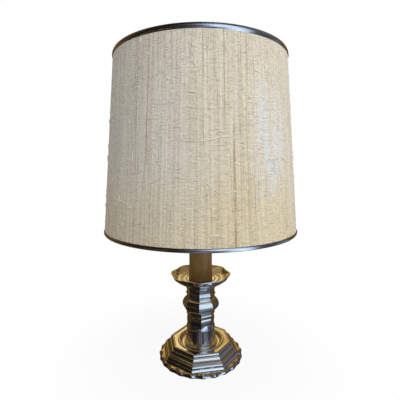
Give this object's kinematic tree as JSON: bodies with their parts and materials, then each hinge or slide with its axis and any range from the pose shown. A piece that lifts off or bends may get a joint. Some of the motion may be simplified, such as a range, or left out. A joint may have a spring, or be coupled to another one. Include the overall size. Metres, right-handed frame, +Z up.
{
  "type": "candlestick table lamp",
  "caption": "Eight-sided silver-plated candlestick table lamp with a stepped base, knopped stem, scalloped drip pan, candle sleeve and raw-silk drum shade with metal edge bands.",
  "frame": {"origin": "middle of the felt face that the lamp stands on", "axes": "+Z up the lamp's axis; one flat of the base faces -Y, the front; the cord inlet is at +Y, the back"},
  "size_m": [0.2996, 0.2996, 0.4741],
  "materials": {
    "silver_plate": "polished silver plate on cast brass, warm in the hollows",
    "cast_iron": "rough casting",
    "cover_steel": "plain sheet",
    "felt": "dark green felt",
    "bush_plastic": "moulded",
    "zinc_steel": "zinc plated",
    "sleeve_plastic": "aged ivory candle sleeve, amber in the shade's shadow",
    "holder_plastic": "moulded thermoset",
    "holder_ceramic": "steatite",
    "brass": "bright",
    "shade_silk": "raw silk with slubs, ivory",
    "shade_lining": "laminated styrene sheet",
    "trim_metal": "polished band",
    "white_wire": "white coated wire",
    "bulb_glass": "frosted glass",
    "bulb_cap_metal": "rolled cap",
    "bulb_insulator": "black glass",
    "bulb_contact": "solder dome"
  },
  "bodies": {
    "stand": {"base_shell": "silver_plate", "ballast_plate": "cast_iron", "base_cover": "cover_steel", "felt_pad": "felt", "cord_bush": "bush_plastic", "central_rod": "zinc_steel", "base_washer": "zinc_steel", "earth_tag": "brass", "base_nut": "zinc_steel", "stem_foot": "silver_plate", "lower_stem": "silver_plate", "upper_stem": "silver_plate", "drip_pan": "silver_plate", "pan_washer": "zinc_steel", "pan_nut": "zinc_steel", "holder_cap": "holder_plastic", "grub_screw": "brass", "holder_body": "holder_plastic", "holder_insert": "holder_ceramic", "terminal_screws": "brass", "screw_shell": "brass", "centre_contact": "brass", "lower_shade_ring": "holder_plastic"},
    "sleeve": {"candle_sleeve": "sleeve_plastic"},
    "shade": {"shade_carrier": "white_wire", "top_wire_ring": "white_wire", "shade_lining": "shade_lining", "shade_fabric": "shade_silk", "top_trim": "trim_metal", "bottom_trim": "trim_metal"},
    "clamp_ring": {"upper_shade_ring": "holder_plastic"},
    "bulb": {"bulb_glass": "bulb_glass", "bulb_cap": "bulb_cap_metal", "bulb_insulator": "bulb_insulator", "bulb_contact": "bulb_contact"}
  },
  "joints": [
    {"name": "shade_turn", "type": "hinge", "parent": "stand", "child": "shade", "pos_m": [0, 0, 0.245], "axis": [0, 0, 1], "continuous": true},
    {"name": "ring_turn", "type": "hinge", "parent": "stand", "child": "clamp_ring", "pos_m": [0, 0, 0.247], "axis": [0, 0, 1], "range_deg": [0, 720]},
    {"name": "bulb_unscrew", "type": "slide", "parent": "stand", "child": "bulb", "axis": [0, 0, 1], "range_m": [0, 0.03]},
    {"name": "sleeve_turn", "type": "hinge", "parent": "stand", "child": "sleeve", "pos_m": [0, 0, 0.18], "axis": [0, 0, 1], "continuous": true}
  ]
}
